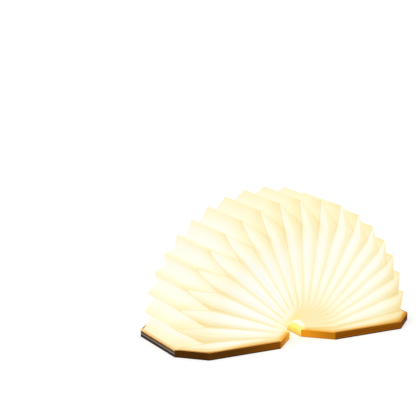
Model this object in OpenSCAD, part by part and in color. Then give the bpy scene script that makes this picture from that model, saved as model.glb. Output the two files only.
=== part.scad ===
// Folding book lamp: two octagonal wooden covers joined by a ring of pleated paper.
// It stands here fully open, on its two covers. Millimetres, Z up. The origin is the middle of
// the gap between the covers, on the table. The base cover is on -X, the lid on +X.

/* [Covers] */
// Width of each cover, out from the hinge
cover_width = 145; // [134:1:176]
// Depth of each cover, along the hinge
cover_depth = 141; // [130:1:176]
// Length taken off each corner, along the edge
corner_cut = 28; // [22:1:36]
// Radius that softens each plan corner
corner_round = 3; // [1:0.5:6]
// Thickness of each plywood board
board_thick = 7.7; // [7.4:0.1:11]
// Thickness of the walnut veneer under each board
veneer_thick = 0.6; // [0.4:0.1:1.2]
// Gap between the covers' hinge edges when open
hinge_gap = 14.4; // [11:0.2:20]

/* [Paper bellows] */
// Distance from a cover's outline to the outer folds
edge_inset = 3; // [2:0.5:5]
// Depth of the pleats on the side away from the hinge
front_pleat = 21.7; // [16:0.1:25]
// Depth of the pleats on the two long sides
side_pleat = 7.3; // [5:0.1:11]
// Depth of the pleats on the hinge side
hinge_pleat = 7.5; // [5:0.1:10]
// Paper thickness, measured along the plane of a fold
fold_wall = 1; // [0.6:0.1:1.4]
// Half of the gap between two leaves at an inner fold
seam = 0.15; // [0.1:0.05:0.3]
// Sag of the fan towards the table on both sides, in degrees
fan_sag = 2.02; // [0:0.02:3]
// Lean of the fan towards the base cover, in degrees
fan_lean = 2.16; // [0:0.02:4]
// Unevenness of the open fan, in degrees: five gentle waves of closer and wider leaves
fan_ripple = 0.62; // [0:0.02:1]
// Width of the glued paper flange on each cover
flange_width = 12; // [12:0.5:15]
// Thickness of the glued paper flange
flange_thick = 0.3; // [0.2:0.05:0.5]

/* [Pocket and plates] */
// Thickness of the white cover plate and of the lid's liner
plate_thick = 1; // [0.8:0.1:1.4]
// Width of the ledge that carries the cover plate
ledge_width = 6; // [5:0.5:8]
// Gap around each plate and each electronic part
part_gap = 0.3; // [0.2:0.05:0.5]
// Head diameter of the cover plate's screws
plate_screw_head = 3.8; // [3.2:0.1:4.6]
// Shank diameter of the cover plate's screws
plate_screw_shank = 1.8; // [1.4:0.1:2.4]
// Length of the cover plate's screws
plate_screw_length = 5; // [3.5:0.1:6]

/* [Battery] */
// Length of the flat cell, out from the hinge
cell_length = 62; // [50:1:74]
// Width of the flat cell, along the hinge
cell_width = 44; // [34:1:50]
// Thickness of the flat cell
cell_thick = 4; // [3:0.1:4.6]
// Thickness of the foam pad under the cell
pad_thick = 0.4; // [0.3:0.1:0.8]
// Free height between the cell and the cover plate
cell_headroom = 0.7; // [0.4:0.1:0.9]

/* [Control board] */
// Width of the control board
circuit_width = 32; // [28:0.5:40]
// Length of the control board without its tongue
circuit_length = 21; // [18:0.5:24]
// Thickness of the control board and of the LED board
circuit_thick = 1; // [0.8:0.1:1.2]
// Width of the charging socket
socket_width = 8.9; // [8:0.1:9.6]
// Height of the charging socket
socket_height = 3.2; // [2.8:0.1:3.4]
// Length of the charging socket
socket_length = 7.3; // [6:0.1:9]
// Side of the square lid sensor chip
sensor_side = 3; // [2:0.1:4]
// Height of the lid sensor chip
sensor_height = 1.1; // [0.8:0.1:1.5]
// Head diameter of the control board's screws
circuit_screw_head = 3; // [2.4:0.1:3.6]
// Length of the control board's screws under the head
circuit_screw_length = 2.3; // [1.8:0.1:2.4]

/* [LEDs] */
// Distance of the LED board's middle from the hinge edge
led_distance = 44; // [40:1:56]
// Width of the LED board
led_board_width = 12; // [8:0.5:14]
// Length of the LED board
led_board_length = 80; // [70:1:90]
// Number of LEDs
led_count = 10; // [6:1:12]
// Height of each LED
led_height = 0.7; // [0.5:0.1:1.2]
// Diameter of the insulated leads
lead_diameter = 1; // [0.8:0.1:1.1]

/* [Magnets] */
// Diameter of the holding magnets
magnet_diameter = 11; // [8:0.5:11]
// Thickness of the magnets
magnet_thick = 3; // [2:0.1:4]
// Distance of each holding magnet from the cover's middle line
magnet_offset = 30; // [16:1:34]
// Diameter of the magnet that works the lid sensor
sensor_magnet_diameter = 14; // [10:0.5:16]

/* [Hidden] */
cover_thick = board_thick + veneer_thick;
hinge_edge = hinge_gap / 2;
half_depth = cover_depth / 2;
middle = hinge_edge + cover_width / 2;
pitches = 19;
plate_inset = edge_inset + flange_width + 1;
pocket_inset = plate_inset + ledge_width;
plate_floor = cover_thick - plate_thick;
pocket_floor = plate_floor - cell_headroom - cell_thick - pad_thick;
pocket_rear = half_depth - pocket_inset;
circuit_top = pocket_floor + circuit_thick;
circuit_rear = pocket_rear - 2;
circuit_front = circuit_rear - circuit_length;
circuit_middle = middle + 5.5;
cell_centre = (circuit_front - pocket_rear) / 2;
cell_end = middle + cell_length / 2;
cell_lead_row = cell_centre + cell_width / 2 - 3;
cell_middle_height = pocket_floor + pad_thick + cell_thick / 2;
sensor_at = [circuit_middle - circuit_width / 2 + 4, circuit_rear - 4];
fit_gap = 0.05;
led_board_middle = hinge_edge + led_distance;
lead_hole = led_board_middle + led_board_width / 2 + 3;
lead_pair = 0.8;
led_lead_start = circuit_front + 8.5;
led_lead_row = led_board_length / 2 - 6;
led_size = [2.8, 3.5];
arc_steps = 5;
round_steps = 48;

walnut = [0.42, 0.26, 0.17];
plywood = [0.80, 0.64, 0.47];
paper = [0.98, 0.94, 0.84];
white = [0.93, 0.93, 0.92];
circuit_green = [0.10, 0.33, 0.22];
steel = [0.75, 0.75, 0.77];

// The angle of outer fold k, counted from the base cover round to the lid.
function fold_angle(k) =
    let (even = 180 * k / pitches)
    even - fan_sag * sin(2 * even) - fan_lean * sin(even) - fan_ripple * sin(5 * even);

// The angle of the inner fold between outer folds k and k + 1.
function valley_angle(k) = (fold_angle(k) + fold_angle(k + 1)) / 2;

// The eight plan corners of a cover, brought in by a distance.
function plan(inset) =
    let (
        near = hinge_edge + inset,
        far = hinge_edge + cover_width - inset,
        half = half_depth - inset,
        cut = corner_cut - inset * (2 - sqrt(2))
    )
    [
        [near, cut - half], [near + cut, -half], [far - cut, -half], [far, cut - half],
        [far, half - cut], [far - cut, half], [near + cut, half], [near, half - cut]
    ];

// A convex outline with each corner turned into an arc.
function rounded(points, radius) =
    let (count = len(points))
    [
        for (i = [0 : count - 1])
            let (
                corner = points[i],
                back = points[(i + count - 1) % count] - corner,
                ahead = points[(i + 1) % count] - corner,
                to_back = back / norm(back),
                to_ahead = ahead / norm(ahead),
                half_angle = acos(to_back * to_ahead) / 2,
                inward = (to_back + to_ahead) / norm(to_back + to_ahead),
                centre = corner + inward * radius / sin(half_angle),
                start = corner + to_back * radius / tan(half_angle) - centre,
                from = atan2(start.y, start.x)
            )
            for (step = [0 : arc_steps])
                let (turn = from + (180 - 2 * half_angle) * step / arc_steps)
                centre + radius * [cos(turn), sin(turn)]
    ];

// The inner fold's distance from the hub and place along the hinge, for the same eight corners.
function valleys(inset) =
    let (
        ring = plan(edge_inset + inset),
        near = ring[0].x + hinge_pleat,
        far = ring[4].x - front_pleat,
        half = ring[5].y - side_pleat,
        corner_line = ring[6].x - ring[6].y + side_pleat * sqrt(2),
        far_half = ring[4].x + ring[4].y - far,
        front = [far, far_half],
        side = [half + corner_line, half],
        beside = front + (side - front) * 0.8 / norm(side - front),
        hub_side = [near, near - corner_line]
    )
    [
        [hub_side.x, -hub_side.y], [side.x, -side.y], [beside.x, -beside.y], [front.x, -front.y],
        front, beside, side, hub_side
    ];

// A point of the fan, shifted square to its plane.
function fan_point(at, angle, shift) =
    [
        shift * sin(angle) - at.x * cos(angle),
        at.y,
        cover_thick + at.x * sin(angle) + shift * cos(angle)
    ];

// The triangles that close a ring of eight sections with the given number of corners. The
// inner strips are split as the outer ones, and the far half as the near one mirrored.
function ring_faces(corners, inner_strips) =
    [
        for (i = [0 : 7])
            for (j = [0 : corners - 1])
                let (
                    here = i * corners,
                    there = ((i + 1) % 8) * corners,
                    next = (j + 1) % corners,
                    inside = len([for (strip = inner_strips) if (strip == j) strip]) > 0,
                    far_half = i > 3
                )
                each inside == far_half
                    ? [
                        [here + j, there + j, there + next],
                        [here + j, there + next, here + next]
                    ]
                    : [
                        [here + j, there + j, here + next],
                        [there + j, there + next, here + next]
                    ]
    ];

module on_base() {
    mirror([1, 0, 0])
        children();
}

module outline(inset, radius) {
    polygon(rounded(plan(inset), radius));
}

module at_plate_screws() {
    ring = plan(plate_inset + ledge_width / 2);
    for (i = [0, 2, 4, 6])
        let (spot = (ring[i] + ring[i + 1]) / 2)
            translate([spot.x, spot.y, cover_thick])
                children();
}

module at_magnets() {
    far = hinge_edge + cover_width - edge_inset - flange_width / 2;
    for (side = [-1, 1])
        translate([far, side * magnet_offset, cover_thick - magnet_thick - 0.1])
            children();
}

module at_circuit_screws() {
    for (spot = [
        [circuit_middle - circuit_width / 2 + 2.5, circuit_front + 2.5],
        [circuit_middle + circuit_width / 2 - 2.5, circuit_rear - 2.5]
    ])
        translate([spot.x, spot.y, circuit_top])
            children();
}

// A straight-edged run of insulated wire with rounded bends.
module lead(points) {
    for (i = [0 : len(points) - 2])
        let (
            along = points[i + 1] - points[i],
            tilt = acos(along.z / norm(along)),
            heading = atan2(along.y, along.x)
        )
            translate(points[i])
                rotate([0, tilt, heading])
                    cylinder(h = norm(along), d = lead_diameter, $fn = 24);
    for (i = [1 : len(points) - 2])
        translate(points[i])
            sphere(d = lead_diameter, $fn = 24);
}

module bare_board() {
    difference() {
        translate([0, 0, veneer_thick])
            linear_extrude(height = board_thick)
                outline(0, corner_round);
        translate([0, 0, plate_floor])
            linear_extrude(height = plate_thick + 1)
                outline(plate_inset - part_gap, 2);
        at_magnets()
            cylinder(h = magnet_thick + 1, d = magnet_diameter + 2 * fit_gap, $fn = round_steps);
    }
}

module veneer_sheet() {
    linear_extrude(height = veneer_thick)
        outline(0, corner_round);
}

module magnet_pair() {
    at_magnets()
        cylinder(h = magnet_thick, d = magnet_diameter, $fn = round_steps);
}

module base_board() {
    mortise_width = socket_width + 2 * part_gap;
    mortise_height = circuit_thick + socket_height + part_gap;
    color(plywood)
        on_base()
            difference() {
                bare_board();
                translate([0, 0, pocket_floor])
                    linear_extrude(height = cover_thick)
                        outline(pocket_inset, 2);
                translate([circuit_middle - mortise_width / 2, pocket_rear - 1, pocket_floor])
                    cube([mortise_width, pocket_inset + 2, mortise_height]);
                at_plate_screws()
                    translate([0, 0, -plate_screw_length - 0.2])
                        cylinder(h = 20, d = plate_screw_shank + 2 * fit_gap, $fn = 32);
                at_circuit_screws()
                    translate([0, 0, -circuit_screw_length - 0.1])
                        cylinder(h = 5, d = 1.6 + 2 * fit_gap, $fn = 32);
            }
}

module base_veneer() {
    color(walnut)
        on_base()
            veneer_sheet();
}

module pocket_cover() {
    color(white)
        on_base()
            difference() {
                translate([0, 0, plate_floor])
                    linear_extrude(height = plate_thick)
                        outline(plate_inset, 2);
                at_plate_screws()
                    translate([0, 0, -plate_thick])
                        cylinder(
                            h = plate_thick,
                            d1 = plate_screw_shank + 2 * fit_gap,
                            d2 = plate_screw_head + 2 * fit_gap,
                            $fn = round_steps
                        );
                at_plate_screws()
                    translate([0, 0, -2 * plate_thick])
                        cylinder(h = 4, d = plate_screw_shank + 2 * fit_gap, $fn = 32);
                translate([lead_hole, led_lead_row, plate_floor - 1])
                    cylinder(h = plate_thick + 2, d = 2 * lead_pair + lead_diameter + 0.8, $fn = 32);
            }
}

module cover_screws() {
    color(steel)
        on_base()
            at_plate_screws()
                difference() {
                    union() {
                        translate([0, 0, -plate_screw_length])
                            cylinder(h = plate_screw_length - 0.1, d = plate_screw_shank, $fn = 32);
                        translate([0, 0, -plate_thick])
                            cylinder(
                                h = plate_thick,
                                d1 = plate_screw_shank,
                                d2 = plate_screw_head,
                                $fn = round_steps
                            );
                    }
                    for (turn = [0, 90])
                        rotate([0, 0, turn])
                            translate([-0.9, -0.2, -0.5])
                                cube([1.8, 0.4, 1]);
                }
}

module base_magnets() {
    color(steel)
        on_base()
            magnet_pair();
}

module cell_pad() {
    color([0.25, 0.25, 0.26])
        on_base()
            translate([
                middle - cell_length / 2 + 2, cell_centre - cell_width / 2 + 2, pocket_floor
            ])
                cube([cell_length - 4, cell_width - 4, pad_thick]);
}

module battery_cell() {
    color([0.70, 0.72, 0.76])
        on_base()
            translate([middle, cell_centre, pocket_floor + pad_thick])
                linear_extrude(height = cell_thick)
                    polygon(rounded([
                        [-cell_length / 2, -cell_width / 2], [cell_length / 2, -cell_width / 2],
                        [cell_length / 2, cell_width / 2], [-cell_length / 2, cell_width / 2]
                    ], 2));
}

module control_board() {
    tongue_end = half_depth - 0.8;
    color(circuit_green)
        on_base()
            difference() {
                translate([0, 0, pocket_floor])
                    linear_extrude(height = circuit_thick)
                        union() {
                            translate([circuit_middle - circuit_width / 2, circuit_front])
                                square([circuit_width, circuit_length]);
                            translate([circuit_middle - socket_width / 2, circuit_rear - 1])
                                square([socket_width, tongue_end - circuit_rear + 1]);
                        }
                at_circuit_screws()
                    translate([0, 0, -circuit_thick - 1])
                        cylinder(h = circuit_thick + 2, d = 1.6 + 2 * fit_gap, $fn = 32);
            }
}

module board_screws() {
    head = 0.9;
    color(steel)
        on_base()
            at_circuit_screws()
                difference() {
                    union() {
                        cylinder(h = head, d = circuit_screw_head, $fn = round_steps);
                        translate([0, 0, -circuit_screw_length])
                            cylinder(h = circuit_screw_length + 0.1, d = 1.6, $fn = 32);
                    }
                    for (turn = [0, 90])
                        rotate([0, 0, turn])
                            translate([-0.7, -0.15, head - 0.4])
                                cube([1.4, 0.3, 1]);
                }
}

module socket_section(grow) {
    round_radius = socket_height / 2 + grow;
    for (side = [-1, 1])
        translate([side * (socket_width / 2 - socket_height / 2), 0])
            circle(r = round_radius, $fn = round_steps);
    translate([-(socket_width - socket_height) / 2, -round_radius])
        square([socket_width - socket_height, 2 * round_radius]);
}

module charge_socket() {
    wall = 0.3;
    color(steel)
        on_base()
            translate([circuit_middle, half_depth, circuit_top + socket_height / 2])
                rotate([90, 0, 0]) {
                    difference() {
                        linear_extrude(height = socket_length)
                            socket_section(0);
                        translate([0, 0, -1])
                            linear_extrude(height = socket_length)
                                socket_section(-wall);
                    }
                    translate([-3.35, -0.35, 0.8])
                        cube([6.7, 0.7, socket_length - 1.2]);
                }
}

module lid_sensor() {
    color([0.12, 0.12, 0.13])
        on_base()
            translate([sensor_at.x - sensor_side / 2, sensor_at.y - sensor_side / 2, circuit_top])
                cube([sensor_side, sensor_side, sensor_height]);
}

// Two leads run from the cell's outer end round to the control board.
module battery_leads() {
    pad = circuit_middle + circuit_width / 2 - 3;
    color([0.70, 0.12, 0.10])
        on_base()
            for (place = [0, 1])
                let (
                    start = cell_lead_row - 3 * place,
                    turn = cell_end + 3 + 2 * place,
                    row = circuit_front + 4 + 3 * place
                )
                    lead([
                        [cell_end, start, cell_middle_height],
                        [turn, start, cell_middle_height],
                        [turn, row, cell_middle_height],
                        [pad, row, cell_middle_height],
                        [pad, row, circuit_top]
                    ]);
}

module led_board() {
    color(white)
        on_base()
            translate([
                led_board_middle - led_board_width / 2, -led_board_length / 2, cover_thick
            ])
                cube([led_board_width, led_board_length, circuit_thick]);
}

module leds() {
    spacing = (led_board_length - 8) / led_count;
    color([0.99, 0.93, 0.60])
        on_base()
            for (i = [0 : led_count - 1])
                translate([
                    led_board_middle - 1 - led_size.x / 2,
                    (i - (led_count - 1) / 2) * spacing - led_size.y / 2,
                    cover_thick + circuit_thick
                ])
                    cube([led_size.x, led_size.y, led_height]);
}

module led_leads() {
    under_plate = circuit_top + 2;
    over_board = cover_thick + circuit_thick + 1.2;
    pad = led_board_middle + led_board_width / 2 - 1.5;
    start = circuit_middle - circuit_width / 2 + 2;
    color([0.15, 0.15, 0.16])
        on_base()
            for (side = [-1, 1])
                let (
                    from = led_lead_start + side * lead_pair,
                    row = led_lead_row + side * lead_pair
                )
                    lead([
                        [start, from, circuit_top],
                        [start, from, under_plate],
                        [lead_hole, row, under_plate],
                        [lead_hole, row, over_board],
                        [pad, row, over_board],
                        [pad, row, cover_thick + circuit_thick]
                    ]);
}

module lid_board() {
    color(plywood)
        difference() {
            bare_board();
            translate([sensor_at.x, sensor_at.y, plate_floor - magnet_thick])
                cylinder(
                    h = magnet_thick + 1,
                    d = sensor_magnet_diameter + 2 * fit_gap,
                    $fn = round_steps
                );
        }
}

module lid_veneer() {
    color(walnut)
        veneer_sheet();
}

module lid_liner() {
    color(white)
        translate([0, 0, plate_floor])
            linear_extrude(height = plate_thick)
                outline(plate_inset, 2);
}

module lid_magnets() {
    color(steel)
        magnet_pair();
}

module sensor_magnet() {
    color(steel)
        translate([sensor_at.x, sensor_at.y, plate_floor - magnet_thick])
            cylinder(h = magnet_thick, d = sensor_magnet_diameter, $fn = round_steps);
}

// The half leaf glued to the base cover: its flange lies on the board, its panel rises to the
// first inner fold, at the given angle.
module glued_end(rise) {
    foot = plan(edge_inset);
    inner_foot = plan(edge_inset + fold_wall + 2);
    flange_end = plan(edge_inset + flange_width);
    outer_valley = valleys(0);
    inner_valley = valleys(fold_wall);
    points = [
        for (i = [0 : 7]) each [
            fan_point(foot[i], 0, 0),
            fan_point(outer_valley[i], rise, -seam),
            fan_point(inner_valley[i], rise, -seam),
            fan_point(inner_foot[i], 0, flange_thick),
            fan_point(flange_end[i], 0, flange_thick),
            fan_point(flange_end[i], 0, 0)
        ]
    ];
    color(paper)
        polyhedron(points = points, faces = ring_faces(6, [2]), convexity = 8);
}

// A free leaf: outer fold k with its two panels, each down to an inner fold.
module leaf(k) {
    outer = plan(edge_inset);
    inner = plan(edge_inset + fold_wall);
    outer_valley = valleys(0);
    inner_valley = valleys(fold_wall);
    points = [
        for (i = [0 : 7]) each [
            fan_point(outer_valley[i], valley_angle(k - 1), seam),
            fan_point(outer[i], fold_angle(k), 0),
            fan_point(outer_valley[i], valley_angle(k), -seam),
            fan_point(inner_valley[i], valley_angle(k), -seam),
            fan_point(inner[i], fold_angle(k), 0),
            fan_point(inner_valley[i], valley_angle(k - 1), seam)
        ]
    ];
    color(paper)
        polyhedron(points = points, faces = ring_faces(6, [3, 4]), convexity = 8);
}

module base_bellows_end() {
    glued_end(valley_angle(0));
}

module lid_bellows_end() {
    mirror([1, 0, 0])
        glued_end(180 - valley_angle(pitches - 1));
}

module leaf_01() { leaf(1); }
module leaf_02() { leaf(2); }
module leaf_03() { leaf(3); }
module leaf_04() { leaf(4); }
module leaf_05() { leaf(5); }
module leaf_06() { leaf(6); }
module leaf_07() { leaf(7); }
module leaf_08() { leaf(8); }
module leaf_09() { leaf(9); }
module leaf_10() { leaf(10); }
module leaf_11() { leaf(11); }
module leaf_12() { leaf(12); }
module leaf_13() { leaf(13); }
module leaf_14() { leaf(14); }
module leaf_15() { leaf(15); }
module leaf_16() { leaf(16); }
module leaf_17() { leaf(17); }
module leaf_18() { leaf(18); }

base_board();
base_veneer();
pocket_cover();
cover_screws();
base_magnets();
cell_pad();
battery_cell();
control_board();
board_screws();
charge_socket();
lid_sensor();
battery_leads();
led_board();
leds();
led_leads();
base_bellows_end();
lid_board();
lid_veneer();
lid_liner();
lid_magnets();
sensor_magnet();
lid_bellows_end();
leaf_01();
leaf_02();
leaf_03();
leaf_04();
leaf_05();
leaf_06();
leaf_07();
leaf_08();
leaf_09();
leaf_10();
leaf_11();
leaf_12();
leaf_13();
leaf_14();
leaf_15();
leaf_16();
leaf_17();
leaf_18();
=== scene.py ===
"""Folding book lamp: two plywood covers, and between them a ring of pleated paper that glows."""
import math

import bmesh
import bpy
from mathutils import Matrix, Vector

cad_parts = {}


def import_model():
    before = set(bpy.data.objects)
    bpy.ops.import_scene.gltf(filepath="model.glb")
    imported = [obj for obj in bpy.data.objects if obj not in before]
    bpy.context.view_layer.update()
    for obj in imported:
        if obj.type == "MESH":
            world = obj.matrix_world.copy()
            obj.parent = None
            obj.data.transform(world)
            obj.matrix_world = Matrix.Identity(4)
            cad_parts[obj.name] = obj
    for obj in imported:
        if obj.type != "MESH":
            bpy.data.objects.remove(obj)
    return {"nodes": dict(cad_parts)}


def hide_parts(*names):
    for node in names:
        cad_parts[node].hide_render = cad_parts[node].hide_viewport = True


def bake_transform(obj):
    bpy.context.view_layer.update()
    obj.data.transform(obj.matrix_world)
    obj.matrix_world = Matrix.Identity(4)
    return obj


MM = 0.001
BLACK = (0, 0, 0, 1)
WHITE = (1, 1, 1, 1)

# The camera, fitted to the open lamp: in degrees and millimetres, its lens in the picture's
# pixels, and what it clips in metres
CAMERA_AZIMUTH = -27.8011
CAMERA_ELEVATION = 12.9707
CAMERA_DISTANCE = 1864.89
CAMERA_LEFT = 78.399
CAMERA_UP = 137.307
FOCAL_PIXELS = 1624.6
PHOTO_PIXELS = 416
SENSOR_WIDTH = 36
CLIP_START, CLIP_END = 0.1, 50

# Floor, in metres, which glows only for the camera, and light, its angle in degrees
FLOOR_SIZE = 8
FLOOR_GREY = (0.5, 0.5, 0.5, 1)
FLOOR_GLOW = (0.54, 0.54, 0.54, 1)
ROOM_LIGHT = 0.55
KEY_LIGHT = 1.4
KEY_SPREAD = 50
KEY_DIRECTION = (0.7, 0.5, -1.5)

# Covers and bellows as the solids have them, in millimetres, and the fan's evenness in degrees
COVER_TOP = 8.3
HINGE_EDGE = 7.2
COVER_WIDTH = 145
COVER_DEPTH = 141
CORNER_CUT = 28
EDGE_INSET = 3
PLEATS = 19
FAN_SAG = 2.02
FAN_LEAN = 2.16
FAN_RIPPLE = 0.62
HUB_RADIUS = 12.7
VALLEY_LOOP = [(17.7, -38.43), (39.47, -60.2), (126.7, -62.93), (127.5, -62.96)]

# Paper, in millimetres. A ridge is an outer fold and a valley an inner one. A ridge's round is
# drawn at a few turns, in degrees, and its size tapers to nothing at the hinge. The radii of
# the corners are in the order of octagon()
RIDGE_ROUND = 1.2
RIDGE_TAPER = 0.033
RIDGE_TURNS = (0, 30, 60)
RIDGE_CORNERS = (3, 7, 24, 2.5, 2.5, 24, 7, 3)
VALLEY_CORNERS = (2, 4, 0, 0, 0, 0, 4, 2)
GLUED_CORNERS = (2,) * 8
FAR_CORNERS = (3, 4)
CORNER_STEPS = 4
CREASE_HALF = 0.75
PAPER_THICK = 0.25
PAPER_LEVELS = 2
FLANGE = 12
MERGE_METRES = 1e-6


def main():
    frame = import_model()
    set_camera()
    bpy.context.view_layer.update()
    lay_floor()
    light_studio()
    finishes = make_finishes()
    dress_nodes(frame["nodes"], finishes)
    fold_paper(finishes["paper"])


# ---------------------------------------------------------------- camera, floor and light


def set_camera():
    azimuth, elevation = math.radians(CAMERA_AZIMUTH), math.radians(CAMERA_ELEVATION)
    right = Vector((math.cos(azimuth), math.sin(azimuth), 0))
    back = Vector(
        (
            math.sin(azimuth) * math.cos(elevation),
            -math.cos(azimuth) * math.cos(elevation),
            math.sin(elevation),
        )
    )
    up = back.cross(right)
    place = (back * CAMERA_DISTANCE - right * CAMERA_LEFT + up * CAMERA_UP) * MM
    data = bpy.data.cameras.new("camera")
    data.sensor_width = SENSOR_WIDTH
    data.lens = SENSOR_WIDTH * FOCAL_PIXELS / PHOTO_PIXELS
    data.clip_start, data.clip_end = CLIP_START, CLIP_END
    camera = bpy.data.objects.new("camera", data)
    turn = Matrix((right, up, back)).transposed().to_4x4()
    camera.matrix_world = Matrix.Translation(place) @ turn
    bpy.context.scene.collection.objects.link(camera)
    bpy.context.scene.camera = camera


def lay_floor():
    bm = bmesh.new()
    bmesh.ops.create_grid(bm, x_segments=1, y_segments=1, size=FLOOR_SIZE)
    mesh = bpy.data.meshes.new("floor")
    bm.to_mesh(mesh)
    bm.free()
    floor = bpy.data.objects.new("floor", mesh)
    bpy.context.scene.collection.objects.link(floor)
    finish = Finish("white table")
    seen = finish.node("ShaderNodeLightPath").outputs["Is Camera Ray"]
    below = Amount(finish, finish.node("ShaderNodeNewGeometry").outputs["Backfacing"])
    finish.shader(
        {
            "Base Color": FLOOR_GREY,
            "Roughness": 0.9,
            "Emission Color": finish.mix(seen, BLACK, FLOOR_GLOW),
            "Emission Strength": 1.0,
            "Alpha": Amount(finish, seen) * (1 - below),
        }
    )
    mesh.materials.append(finish.material)


def light_studio():
    world = bpy.data.worlds.new("studio")
    bpy.context.scene.world = world
    world.use_nodes = True
    room = Nodes(world.node_tree)
    path = room.node("ShaderNodeLightPath")
    seen = Amount(room, path.outputs["Is Camera Ray"])
    for kind in ("Is Glossy Ray", "Is Transmission Ray"):
        seen = seen.math("MAXIMUM", path.outputs[kind])
    levels = {"Value": seen, "To Min": ROOM_LIGHT, "To Max": 1.0}
    strength = room.node("ShaderNodeMapRange", None, levels).outputs["Result"]
    white = room.node("ShaderNodeBackground", None, {"Color": WHITE, "Strength": strength})
    room.node("ShaderNodeOutputWorld", None, {"Surface": white.outputs[0]})
    key = bpy.data.lights.new("key light", "SUN")
    key.energy = KEY_LIGHT
    key.angle = math.radians(KEY_SPREAD)
    lamp = bpy.data.objects.new("key light", key)
    lamp.rotation_mode = "QUATERNION"
    lamp.rotation_quaternion = Vector(KEY_DIRECTION).to_track_quat("-Z", "Y")
    bpy.context.scene.collection.objects.link(lamp)
    bpy.context.scene.view_settings.view_transform = "Standard"


# ---------------------------------------------------------------- materials


class Amount:
    """A number that changes over a surface. Sums and products on it add Math nodes."""

    def __init__(self, nodes, socket):
        self.nodes, self.socket = nodes, socket

    def math(self, operation, *others):
        node = self.nodes.node("ShaderNodeMath", {"operation": operation})
        for socket, value in zip(node.inputs, (self, *others)):
            self.nodes.link(value, socket)
        return Amount(self.nodes, node.outputs[0])

    def __add__(self, other):
        return self.math("ADD", other)

    __radd__ = __add__

    def __mul__(self, other):
        return self.math("MULTIPLY", other)

    __rmul__ = __mul__

    def __sub__(self, other):
        return self.math("SUBTRACT", other)

    def __rsub__(self, other):
        return (self * -1) + other

    def __truediv__(self, other):
        return self.math("DIVIDE", other)

    def __pow__(self, other):
        return self.math("POWER", other)

    def between(self, low, high):
        """0 below low, 1 above high, and smooth from one to the other."""
        node = self.nodes.node(
            "ShaderNodeMapRange",
            {"interpolation_type": "SMOOTHSTEP"},
            {"Value": self, "From Min": low, "From Max": high},
        )
        return Amount(self.nodes, node.outputs["Result"])


class Nodes:
    """The nodes of a material or of the world, under construction."""

    def __init__(self, tree):
        self.tree = tree
        tree.nodes.clear()

    def link(self, value, socket):
        if isinstance(value, Amount):
            value = value.socket
        if isinstance(value, bpy.types.NodeSocket):
            self.tree.links.new(value, socket)
        else:
            socket.default_value = value

    def node(self, kind, settings=None, inputs=None):
        made = self.tree.nodes.new(kind)
        for name, value in (settings or {}).items():
            setattr(made, name, value)
        for name, value in (inputs or {}).items():
            self.link(value, made.inputs[name])
        return made

    def coordinate(self, kind):
        return self.node("ShaderNodeTexCoord").outputs[kind]

    def parts_of(self, vector):
        node = self.node("ShaderNodeSeparateXYZ", None, {"Vector": vector})
        return [Amount(self, socket) for socket in node.outputs]

    def noise(self, place, scale, detail=3.0, roughness=0.55, distortion=0.0):
        inputs = {
            "Vector": place,
            "Scale": scale,
            "Detail": detail,
            "Roughness": roughness,
            "Distortion": distortion,
        }
        return Amount(self, self.node("ShaderNodeTexNoise", None, inputs).outputs["Fac"])

    def grain(self, scale, detail=3.0, roughness=0.55, distortion=0.0, turn=0.0):
        """Noise as fine along, across and through a board as the three numbers of scale say."""
        inputs = {"Vector": self.coordinate("Object"), "Scale": scale, "Rotation": (0, 0, turn)}
        board = self.node("ShaderNodeMapping", None, inputs).outputs[0]
        return self.noise(board, 1.0, detail, roughness, distortion)

    def attribute(self, name):
        return self.node("ShaderNodeAttribute", {"attribute_name": name})

    def ramp(self, amount, stops):
        node = self.node("ShaderNodeValToRGB", None, {"Fac": amount})
        band = node.color_ramp
        band.interpolation = "LINEAR"
        while len(band.elements) < len(stops):
            band.elements.new(0.5)
        for element, (position, colour) in zip(band.elements, stops):
            element.position = position
            element.color = colour
        return node.outputs["Color"]

    def mix(self, amount, low, high, blend="MIX"):
        node = self.node("ShaderNodeMix", {"data_type": "RGBA", "blend_type": blend})
        for index, value in ((0, amount), (6, low), (7, high)):
            self.link(value, node.inputs[index])
        return node.outputs[2]

    def bump(self, height, distance, strength=1.0):
        inputs = {"Height": height, "Distance": distance, "Strength": strength}
        return self.node("ShaderNodeBump", None, inputs).outputs["Normal"]


class Finish(Nodes):
    """A material under construction."""

    def __init__(self, name):
        self.material = bpy.data.materials.new(name)
        self.material.use_nodes = True
        super().__init__(self.material.node_tree)

    def shader(self, inputs):
        shader = self.node("ShaderNodeBsdfPrincipled", None, inputs)
        self.node("ShaderNodeOutputMaterial", None, {"Surface": shader.outputs[0]})


def srgb(red, green, blue):
    """A colour as screens number it, made linear."""
    parts = [value / 255 for value in (red, green, blue)]
    return (*[v / 12.92 if v <= 0.04045 else ((v + 0.055) / 1.055) ** 2.4 for v in parts], 1)


def scaled(colour, share):
    """The colour made darker, or brighter with a share above 1."""
    return (*[value * share for value in colour[:3]], 1)


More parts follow.
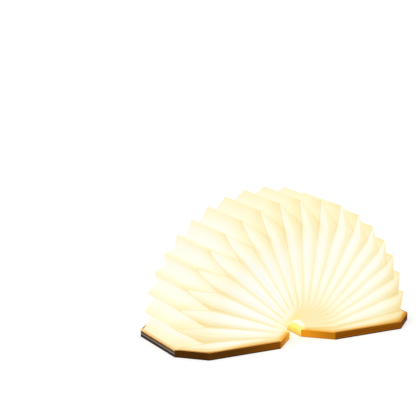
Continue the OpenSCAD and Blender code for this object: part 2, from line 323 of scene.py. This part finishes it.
def make_finishes():
    return {
        "plywood": make_plywood(),
        "walnut": make_walnut(),
        "paper": make_paper(),
        "white_plastic": make_plastic("white_plastic", srgb(236, 234, 228), 0.45),
        "screw_steel": make_metal("screw_steel", srgb(190, 190, 192), 0.3),
        "magnet_nickel": make_metal("magnet_nickel", srgb(205, 203, 198), 0.2),
        "socket_steel": make_metal("socket_steel", srgb(180, 182, 186), 0.3),
        "foam": make_plastic("foam", srgb(58, 58, 60), 0.95),
        "cell_foil": make_metal("cell_foil", srgb(188, 190, 194), 0.35),
        "circuit": make_plastic("circuit", srgb(20, 92, 52), 0.4),
        "white_circuit": make_plastic("white_circuit", srgb(240, 240, 236), 0.35),
        "chip": make_plastic("chip", srgb(32, 32, 34), 0.5),
        "led_phosphor": make_plastic("led_phosphor", srgb(250, 214, 90), 0.3),
        "red_insulation": make_plastic("red_insulation", srgb(176, 28, 24), 0.4),
        "black_insulation": make_plastic("black_insulation", srgb(26, 26, 27), 0.45),
    }


# Where the covers' looks change: in metres from the hinge line, then by a face's direction
LID_SIDE = (-0.001, 0.001)
HINGE_FACE = (0.0073, 0.0076)
HINGE_RIM = (0.01, 0.0125)
HINGE_END = (0.034, 0.037)
SLANTED_CUT = (0.007, 0.035)
FLAT = (0.6, 0.8)

# A cover's edge from the outer face (0) to the bellows (1): where each layer lies
EDGE_LAYERS = [
    (0.0, "veneer"),
    (0.1, "veneer"),
    (0.2, "ply"),
    (0.3, "ply"),
    (0.36, "glue"),
    (0.43, "ply"),
    (0.56, "ply"),
    (0.62, "glue"),
    (0.7, "ply"),
    (0.82, "ply"),
    (0.9, "glue"),
    (1.0, "lit rim"),
]
FAR_EDGE_LAYERS = [
    (0.0, "veneer"),
    (0.28, "veneer"),
    (0.34, "ply"),
    (0.44, "ply"),
    (0.48, "shine"),
    (0.53, "shine"),
    (0.57, "glue"),
    (0.67, "glue"),
    (0.74, "lower ply"),
    (0.84, "lower ply"),
    (0.89, "lit rim"),
    (1.0, "lit rim"),
]
# How far the layers wander, in millimetres
LAYER_WANDER = 0.4
# The layers' colours as they look in studio light; the lid's are brighter and more orange with
# painted lamp light
BASE_EDGE = {
    "veneer": srgb(42, 18, 6),
    "ply": srgb(93, 56, 14),
    "glue": srgb(60, 30, 6),
    "lit rim": srgb(126, 76, 26),
}
LAMP_LIT_LID_EDGE = {
    "veneer": srgb(84, 42, 3),
    "ply": srgb(148, 84, 10),
    "glue": srgb(100, 50, 2),
    "lit rim": srgb(176, 112, 30),
}
FAR_EDGE = {
    "veneer": srgb(50, 41, 36),
    "ply": srgb(88, 75, 62),
    "shine": srgb(164, 148, 132),
    "glue": srgb(68, 49, 36),
    "lower ply": srgb(108, 82, 52),
    "lit rim": srgb(238, 188, 128),
}
STUDIO_LIGHT = 0.66
# The rest of the plywood, with painted shade in the far corner and painted lamp light on the cuts
# by the hinge. The margin is what the paper leaves bare of the inner face; its colours carry
# painted lamp light, most by the hinge and at the far ends
PLYWOOD = {
    "far corner": srgb(54, 28, 2),
    "edge grain": srgb(70, 38, 14),
    "lamp-lit cut by the hinge": srgb(200, 128, 34),
    "lamp-lit cut further out": srgb(160, 98, 16),
    "base margin": srgb(172, 119, 56),
    "lid margin": srgb(182, 124, 48),
    "lid margin, far": srgb(184, 130, 44),
    "base margin, far": srgb(236, 190, 134),
    "lamp-lit margin by the hinge": srgb(242, 176, 84),
    "lamp-lit rim at the hinge": srgb(255, 232, 130),
    "margin grain": srgb(200, 140, 80),
}
# Painted lamp light: the glow given off by the plywood by the hinge, by its hinge face, and at a
# share of its colour by the whole margin
PLYWOOD_GLOW = {
    "base": srgb(178, 126, 44),
    "lid": srgb(178, 112, 10),
    "lamp-lit cut further out": srgb(132, 82, 8),
}
HINGE_FACE_GLOW = [
    (0.0, srgb(232, 174, 82)),
    (0.5, srgb(236, 202, 92)),
    (1.0, srgb(240, 226, 128)),
]
MARGIN_GLOW = 0.28
WOOD_BUMP = 0.0002


def make_plywood():
    finish = Finish("plywood")
    x, _, z = finish.parts_of(finish.coordinate("Object"))
    normal_x, _, normal_z = finish.parts_of(finish.coordinate("Normal"))
    flat = normal_z.math("ABSOLUTE").between(*FLAT)
    sideways = normal_x.math("ABSOLUTE")
    out = x.math("ABSOLUTE")
    lid = x.between(*LID_SIDE)
    hinge_end = 1 - out.between(*HINGE_END)
    cut = out.between(*SLANTED_CUT)
    grain = finish.grain((18, 260, 260), 5.0, 0.6, 0.6)
    wander = finish.grain((30, 30, 0), 2.0)
    depth = (z * (1 / MM) + (wander - 0.5) * LAYER_WANDER) / COVER_TOP

    def layered(layers, colours):
        stops = [(at, scaled(colours[layer], 1 / STUDIO_LIGHT)) for at, layer in layers]
        return finish.ramp(depth, stops)

    # The edges: their layers, lamp-lit on the lid and by the hinge in painted lamp light, the
    # painted shade of the far corner, the far side, grain, the end by the hinge in painted lamp
    # light
    lamp_lit = lid.math("MAXIMUM", (1 - out.between(0.03, 0.1)) * 0.9)
    edge = finish.mix(lamp_lit, layered(EDGE_LAYERS, BASE_EDGE), layered(EDGE_LAYERS, LAMP_LIT_LID_EDGE))
    far_corner = sideways.between(0.5, 0.65) * out.between(0.11, 0.13)
    edge = finish.mix(far_corner * 0.45, edge, PLYWOOD["far corner"])
    edge = finish.mix(sideways.between(0.8, 0.95), edge, layered(FAR_EDGE_LAYERS, FAR_EDGE))
    edge = finish.mix(grain.between(0.3, 0.8) * 0.35, edge, PLYWOOD["edge grain"])
    slant = finish.mix(cut, PLYWOOD["lamp-lit cut by the hinge"], PLYWOOD["lamp-lit cut further out"])
    edge = finish.mix(hinge_end * 0.85, edge, slant)

    margin = finish.mix(lid, PLYWOOD["base margin"], PLYWOOD["lid margin"])
    for amount, colour in (
        (lid * out.between(0.126, 0.14), "lid margin, far"),
        ((1 - lid) * out.between(0.1475, 0.149), "base margin, far"),
        (hinge_end, "lamp-lit margin by the hinge"),
        (1 - out.between(*HINGE_RIM), "lamp-lit rim at the hinge"),
        (grain * 0.3, "margin grain"),
    ):
        margin = finish.mix(amount, margin, PLYWOOD[colour])

    # Painted lamp light: the glow by the hinge, on the hinge face and on the margin
    glow = finish.mix(lid, PLYWOOD_GLOW["base"], PLYWOOD_GLOW["lid"])
    glow = finish.mix(cut, glow, PLYWOOD_GLOW["lamp-lit cut further out"])
    hinge_face = 1 - out.between(*HINGE_FACE)
    glow = finish.mix(hinge_face, glow, finish.ramp(depth, HINGE_FACE_GLOW))
    glow = finish.mix(hinge_end, BLACK, glow)
    finish.shader(
        {
            "Base Color": finish.mix(flat, edge, margin),
            "Roughness": 0.55 + grain * 0.15,
            "Specular IOR Level": 0.01,
            "Emission Color": finish.mix(flat, glow, finish.mix(MARGIN_GLOW, BLACK, margin)),
            "Emission Strength": 1.0,
            "Normal": finish.bump(grain, WOOD_BUMP, 0.5),
        }
    )
    return finish.material


# Walnut from its dark bands to its pale ones
WALNUT_TONES = [
    (0.38, srgb(66, 36, 20)),
    (0.44, srgb(108, 66, 40)),
    (0.5, srgb(156, 102, 68)),
    (0.56, srgb(178, 120, 82)),
    (0.64, srgb(208, 152, 112)),
]
WALNUT_PORES = srgb(48, 26, 14)
# A veneer's edge: its own darker colour with painted shade, and by the hinge a glow of painted lamp
# light
WALNUT_EDGE = srgb(58, 32, 14)
WALNUT_EDGE_GLOW = srgb(176, 100, 6)


def make_walnut():
    finish = Finish("walnut")
    x, _, _ = finish.parts_of(finish.coordinate("Object"))
    _, _, normal_z = finish.parts_of(finish.coordinate("Normal"))
    bands = finish.grain((2.4, 26, 0), 3.0, 0.55, 1.1)
    streaks = finish.grain((12, 260, 0), 5.0, 0.7, 0.7)
    threads = finish.grain((40, 1100, 0), 3.0, 0.6, 0.3)
    dashes = finish.grain((80, 1000, 0), 1.0, 0.5, 0.5, turn=0.03)
    colour = finish.ramp(bands * 0.4 + streaks * 0.4 + threads * 0.2, WALNUT_TONES)
    dark_band = 1 - bands.between(0.4, 0.56)
    pores = dashes.between(0.54, 0.62)
    colour = finish.mix(pores * (0.4 + dark_band * 0.5), colour, WALNUT_PORES)
    edge = 1 - normal_z.math("ABSOLUTE").between(*FLAT)
    hinge_end = 1 - x.math("ABSOLUTE").between(*HINGE_END)
    finish.shader(
        {
            "Base Color": finish.mix(edge, colour, WALNUT_EDGE),
            "Emission Color": finish.mix(edge * hinge_end, BLACK, WALNUT_EDGE_GLOW),
            "Emission Strength": 1.0,
            "Roughness": 0.5 + streaks * 0.2,
            "Specular IOR Level": 0.1,
            "Normal": finish.bump(threads - pores * 0.6, WOOD_BUMP, 0.4),
        }
    )
    return finish.material


# How bright the lit paper is from one ridge (0) over the valley (0.5) to the next ridge (1): on
# the front of the fan, on the far side of the left leaves, and on that of the others
FRONT_LIGHT = [
    (0, 227),
    (0.25, 216),
    (0.5, 207),
    (0.68, 238),
    (0.78, 243),
    (0.88, 239),
    (1, 228),
]
FAR_LIGHT = [
    (0, 203),
    (0.08, 204),
    (0.25, 223),
    (0.4, 235),
    (0.57, 239),
    (0.72, 233),
    (0.86, 221),
    (1, 205),
]
TOP_LIGHT = [
    (0, 199),
    (0.3, 201),
    (0.45, 207),
    (0.68, 222),
    (0.8, 218),
    (0.92, 205),
    (1, 199),
]
# Colour of the lit paper for each brightness, in screen numbers
PAPER_COLOURS = [
    (105, srgb(236, 190, 104)),
    (150, srgb(248, 212, 138)),
    (170, srgb(250, 227, 166)),
    (190, srgb(253, 239, 190)),
    (200, srgb(254, 243, 200)),
    (210, srgb(255, 247, 210)),
    (220, srgb(255, 250, 220)),
    (230, srgb(255, 252, 230)),
    (240, srgb(255, 253, 240)),
    (250, srgb(255, 254, 246)),
]
# Unlit, the paper is this colour at a share of its strength, because its glow comes on top
PAPER_WHITE = srgb(255, 250, 236)
PAPER_OWN = 0.17
STUDIO_SHARE = 0.8
FAR_SIDE_TINT = srgb(255, 246, 232)
HUB_GLOW = srgb(253, 224, 138)
DOME_FOOT, DOME_TOP = srgb(248, 226, 140), srgb(248, 248, 224)


def make_paper():
    """Paper lit from inside. All of it goes by the attributes that fold_pleat() gives the paper:
    its place in the open lamp, its place between two ridges, and its share of the front.
    Distances are in metres, angles in radians and brightness from 0 to 1."""
    finish = Finish("paper")
    rest = finish.attribute("rest").outputs["Vector"]
    fold = Amount(finish, finish.attribute("fold").outputs["Fac"])
    front = Amount(finish, finish.attribute("front").outputs["Fac"])
    x, y, z = finish.parts_of(rest)
    rise = z - COVER_TOP * MM
    # How far from the hinge line, and how far round it from the base cover to the lid
    reach = (x * x + rise * rise) ** 0.5
    turn = rise.math("ARCTAN2", x * -1)
    left = 1 - turn.between(0.9, 1.3)
    right = turn.between(1.4, 2.1)
    lid = x.between(*LID_SIDE)
    facing = front.between(0.25, 0.75)
    from_valley = fold.math("ABSOLUTE")
    depth = 1 - from_valley
    off_ridge = 1 - fold**4
    second_panel = fold.between(-0.15, 0.15)

    def along(levels):
        stops = [(at, scaled(WHITE, level / 255)) for at, level in levels]
        return Amount(finish, finish.ramp((fold + 1) * 0.5, stops))

    # The front of the fan: dimmer at the tips, deep in the outer valleys and by the hub
    light = along(FRONT_LIGHT) + left * (0.08 - second_panel * off_ridge * 0.065)
    light = light - reach.between(0.085, 0.13) * (0.09 - second_panel * 0.05)
    light = light - reach.between(0.105, 0.135) * depth * depth * 0.06
    light = light - (1 - reach.between(0.025, 0.065)) * (0.17 - left * 0.06)
    # A dim stripe next to the valley, all along on the left and by the hub elsewhere
    stripe = fold.between(0.02, 0.22) * (1 - fold.between(0.3, 0.58))
    by_hub = (1 - left) * (1 - reach.between(0.07, 0.1))
    light = light - stripe * (left * 0.085 + by_hub * 0.06)
    # Brighter outside on the right
    light = light + right * reach.between(0.085, 0.12) * (0.02 + depth * depth * 0.05)
    # The lowest leaves on the left: dimmer past the valley, brighter before it, dim ridges
    low = (1 - turn.between(0.3, 0.85)) * reach.between(0.03, 0.06)
    hollow = fold.between(0.05, 0.4) * (1 - fold.between(0.6, 1.0) * 0.6)
    lift = fold.between(-1.0, -0.5) * (1 - fold.between(-0.15, 0.05))
    light = light - low * (hollow * 0.17 - lift * 0.075)
    lowest = (1 - turn.between(0.15, 0.32)) * from_valley.between(0.4, 0.8)
    # The tips of the lowest leaves on the right
    low_tips = turn.between(2.35, 3.0) * reach.between(0.085, 0.135)
    front_light = light - lowest * 0.08 - low_tips * 0.13

    # The far side of the fan, and the two joined at the crease between them, with painted shade
    # along the crease and a thin line of painted shade in each valley
    top_light, far_light = along(TOP_LIGHT), along(FAR_LIGHT)
    side_light = top_light + (far_light - top_light) * left
    side_light = side_light - (1 - y.between(-0.05, -0.005)) * 0.1 + 0.03 + left * 0.02
    light = side_light + (front_light - side_light) * facing
    crease = 1 - (front * 2 - 1).math("ABSOLUTE")
    light = light - crease.between(0.15, 0.85) * (0.1 + off_ridge * 0.18)
    valley_shade_line = 1 - (from_valley * reach).between(0.001, 0.0055)
    light = light - valley_shade_line * (0.09 + front * 0.04)

    # Shade where the paper meets the covers
    contact = (1 - rise.between(0.0, 0.0035)) * front * 0.2
    outer = reach.between(0.07, 0.12)
    by_base = (1 - rise.between(0.0, 0.007)) * (0.06 + front * 0.14) + contact
    by_base = by_base * (1 - outer * 0.6) * (0.5 + reach.between(0.03, 0.07) * 0.5)
    by_lid = (1 - rise.between(0.0, 0.012)) * (0.06 + front * (0.09 + outer * 0.08))
    by_lid = by_lid * reach.between(0.015, 0.07)
    light = light - by_base - (by_lid + contact - by_base) * lid
    light = light + (finish.noise(rest, 38, 3.0, 0.6) - 0.5) * 0.07

    # Brightness to colour, less what the studio light adds, then the hub and the dome on it
    stops = []
    for level, colour in PAPER_COLOURS:
        added = scaled(PAPER_WHITE, PAPER_OWN * STUDIO_SHARE)
        glow = [max(0, value - less) for value, less in zip(colour[:3], added)]
        stops.append((level / 255, (*glow, 1)))
    glow = finish.ramp(light, stops)
    glow = finish.mix((1 - facing) * 0.5, glow, FAR_SIDE_TINT, "MULTIPLY")
    hub = 1 - reach.between(0.014, 0.036)
    hub = hub * (turn.between(0.1, 0.9) * 0.6 + 0.4) * (1 - turn.between(1.3, 2.2))
    glow = finish.mix(hub * 0.75, glow, HUB_GLOW)
    dome = finish.mix(rise.between(0.0, 0.006), DOME_FOOT, DOME_TOP)
    glow = finish.mix(1 - reach.between(0.0115, 0.0135), glow, dome)

    fibres = finish.noise(rest, 420, 4.0, 0.7, 1.5)
    shade = scaled(PAPER_WHITE, PAPER_OWN * 0.9)
    tint = scaled(PAPER_WHITE, PAPER_OWN * 1.1)
    finish.shader(
        {
            "Base Color": finish.mix(fibres, shade, tint),
            "Roughness": 0.75,
            "Specular IOR Level": 0.1,
            "Emission Color": glow,
            "Emission Strength": 1.0,
            "Normal": finish.bump(fibres, 0.0001, 0.3),
        }
    )
    return finish.material


def make_plastic(name, colour, roughness):
    finish = Finish(name)
    place = finish.coordinate("Object")
    mottle = finish.noise(place, 300, 3.0)
    finish.shader(
        {
            "Base Color": finish.mix(mottle, scaled(colour, 0.85), colour),
            "Roughness": roughness + (mottle - 0.5) * 0.1,
            "Normal": finish.bump(finish.noise(place, 2500, 2.0), 0.00005, 0.3),
        }
    )
    return finish.material


def make_metal(name, colour, roughness):
    finish = Finish(name)
    place = finish.coordinate("Object")
    wear = finish.noise(place, 260, 4.0, 0.6)
    finish.shader(
        {
            "Base Color": finish.mix(wear, scaled(colour, 0.8), colour),
            "Metallic": 1.0,
            "Roughness": roughness + (wear - 0.5) * 0.15,
            "Normal": finish.bump(finish.noise(place, 1800, 2.0), 0.00003, 0.2),
        }
    )
    return finish.material


def dress_nodes(nodes, finishes):
    for node in nodes.values():
        for slot in node.material_slots:
            name = slot.material.name.split(".")[0] if slot.material else ""
            if name in finishes:
                slot.material = finishes[name]
            else:
                print("no finish for", node.name, name)


# ---------------------------------------------------------------- paper bellows


def fold_angle(number):
    even = math.pi * number / PLEATS
    sag = math.radians(FAN_SAG) * math.sin(2 * even)
    lean = math.radians(FAN_LEAN) * math.sin(even)
    return even - sag - lean - math.radians(FAN_RIPPLE) * math.sin(5 * even)


def valley_angle(number):
    return (fold_angle(number) + fold_angle(number + 1)) / 2


def octagon(inset):
    """Corners of a cover's outline moved inwards, from the corner by the hinge at the front."""
    near, far = HINGE_EDGE + inset, HINGE_EDGE + COVER_WIDTH - inset
    half = COVER_DEPTH / 2 - inset
    cut = CORNER_CUT - inset * (2 - math.sqrt(2))
    front = [(near, cut - half), (near + cut, -half), (far - cut, -half), (far, cut - half)]
    return mirrored(front)


def mirrored(front):
    """The front half of an outline, and the back half after it."""
    return front + [(x, -y) for x, y in reversed(front)]


def fan_point(at, angle, shift=0.0):
    """A point of a leaf's outline, where the leaf stands at an angle to the base cover. Shift
    moves it off the leaf, towards the lid."""
    out, y = at
    x = shift * math.sin(angle) - out * math.cos(angle)
    z = COVER_TOP + out * math.sin(angle) + shift * math.cos(angle)
    return Vector((x, y, z)) * MM


def soften(corners, radii):
    """The outline with every corner drawn as a short arc of the same number of points."""
    points = []
    for index, (corner, radius) in enumerate(zip(corners, radii)):
        corner = Vector(corner)
        before = (Vector(corners[index - 1]) - corner).normalized()
        after = (Vector(corners[(index + 1) % len(corners)]) - corner).normalized()
        half = before.angle(after) / 2
        centre = corner + (before + after).normalized() * radius / math.sin(half)
        start = corner + before * radius / math.tan(half) - centre
        sweep = (math.pi - 2 * half) * (1 if before.cross(after) < 0 else -1)
        arc = []
        for step in range(CORNER_STEPS + 1):
            turn = Matrix.Rotation(sweep * step / CORNER_STEPS, 2)
            arc.append(centre + turn @ start)
        if index in FAR_CORNERS:
            arc = [arc[0] + before * CREASE_HALF, *arc, arc[-1] + after * CREASE_HALF]
        points += arc
    return points


def front_shares(radii):
    """For each point of a softened outline, 1 on the fan's front and back and 0 on its far side."""
    shares = []
    for index, radius in enumerate(radii):
        if index not in FAR_CORNERS:
            shares += [1.0] * (CORNER_STEPS + 1)
            continue
        steps = range(CORNER_STEPS + 1)
        arc = [1.0, *[1 - step / CORNER_STEPS if radius else 0.5 for step in steps], 0.0]
        shares += arc if index == FAR_CORNERS[0] else arc[::-1]
    return shares


def pleat_rows(number):
    """Rows of points of one pleat: from a ridge (-1) down to the valley (0) and up to the next
    ridge (1)."""
    rows = []
    for angle, side in ((fold_angle(number), 1), (fold_angle(number + 1), -1)):
        half = []
        for turn in (math.radians(degrees) for degrees in RIDGE_TURNS):
            row = []
            for point in soften(octagon(EDGE_INSET), RIDGE_CORNERS):
                size = min(RIDGE_ROUND, RIDGE_TAPER * point.x)
                inward = (Vector((HINGE_EDGE + COVER_WIDTH / 2, 0)) - point).normalized()
                point = point + inward * size * (1 - math.cos(turn))
                row.append(fan_point(point, angle, side * size * math.sin(turn)))
            half.append((-side, row, front_shares(RIDGE_CORNERS)))
        rows.append(half)
    corners = soften(mirrored(VALLEY_LOOP), VALLEY_CORNERS)
    row = [fan_point(point, valley_angle(number)) for point in corners]
    return rows[0] + [(0, row, front_shares(VALLEY_CORNERS))] + rows[1][::-1]


def glued_row(angle, side):
    """The row where an end of the paper stops, glued to its cover."""
    corners = soften(octagon(EDGE_INSET + FLANGE), GLUED_CORNERS)
    row = [fan_point(point, angle, side * PAPER_THICK / 2) for point in corners]
    return (-side, row, front_shares(GLUED_CORNERS))


def put_in_order(bm):
    """Extruding leaves edges and faces in an order of its own each time. This gives them one."""
    bm.verts.index_update()

    def by_corners(item):
        numbers = [vert.index for vert in item.verts]
        return min(numbers) * len(bm.verts) + max(numbers)

    bm.edges.sort(key=by_corners)
    bm.faces.sort(key=by_corners)


def fold_pleat(number):
    rows = pleat_rows(number)
    if number == 0:
        rows.insert(0, glued_row(0, 1))
    if number == PLEATS - 1:
        rows.append(glued_row(math.pi, -1))
    bm = bmesh.new()
    fold = bm.verts.layers.float.new("fold")
    front = bm.verts.layers.float.new("front")
    rest = bm.verts.layers.float_vector.new("rest")
    line = [bm.verts.new() for place in rows[0][1]]
    edges = [bm.edges.new((line[i - 1], line[i])) for i in range(len(line))]
    for index, (along, places, shares) in enumerate(rows):
        if index:
            made = bmesh.ops.extrude_edge_only(bm, edges=edges)["geom"]
            new = {item for item in made if isinstance(item, bmesh.types.BMVert)}
            edges = [
                item
                for item in made
                if isinstance(item, bmesh.types.BMEdge) and all(vert in new for vert in item.verts)
            ]
            line = [
                next(edge.other_vert(old) for edge in old.link_edges if edge.other_vert(old) in new)
                for old in line
            ]
        for vert, place, share in zip(line, places, shares):
            vert.co = place
            vert[rest] = place
            vert[fold] = along
            vert[front] = share
    bmesh.ops.remove_doubles(bm, verts=bm.verts, dist=MERGE_METRES)
    bmesh.ops.recalc_face_normals(bm, faces=bm.faces)
    middle = sum((vert.co for vert in bm.verts), Vector()) / len(bm.verts)
    outward = sum(
        face.normal.dot(face.calc_center_median() - middle) * face.calc_area() for face in bm.faces
    )
    if outward < 0:
        bmesh.ops.reverse_faces(bm, faces=bm.faces)
    for edge in bm.edges:
        edge.smooth = not all(vert[fold] == 0 for vert in edge.verts)
    for face in bm.faces:
        face.smooth = True
    put_in_order(bm)
    mesh = bpy.data.meshes.new(f"paper_pleat_{number + 1:02d}")
    bm.to_mesh(mesh)
    bm.free()
    return mesh


def fold_paper(finish):
    chain = ["base"] + [f"leaf_{number:02d}" for number in range(1, PLEATS)] + ["lid"]
    for number in range(PLEATS):
        mesh = fold_pleat(number)
        mesh.materials.append(finish)
        pleat = bpy.data.objects.new(mesh.name, mesh)
        bpy.context.scene.collection.objects.link(pleat)
        finer = pleat.modifiers.new("finer", "SUBSURF")
        finer.subdivision_type = "SIMPLE"
        finer.levels = finer.render_levels = PAPER_LEVELS
        wall = pleat.modifiers.new("wall", "SOLIDIFY")
        wall.thickness = PAPER_THICK * MM
        wall.offset = -1
        angle = valley_angle(number)
        hinge = fan_point((HUB_RADIUS, 0), angle)
        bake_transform(pleat)
        stands_for = [chain[number] if number else "base_bellows_end"]
        if number == PLEATS - 1:
            stands_for.append("lid_bellows_end")
        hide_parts(*stands_for)


main()
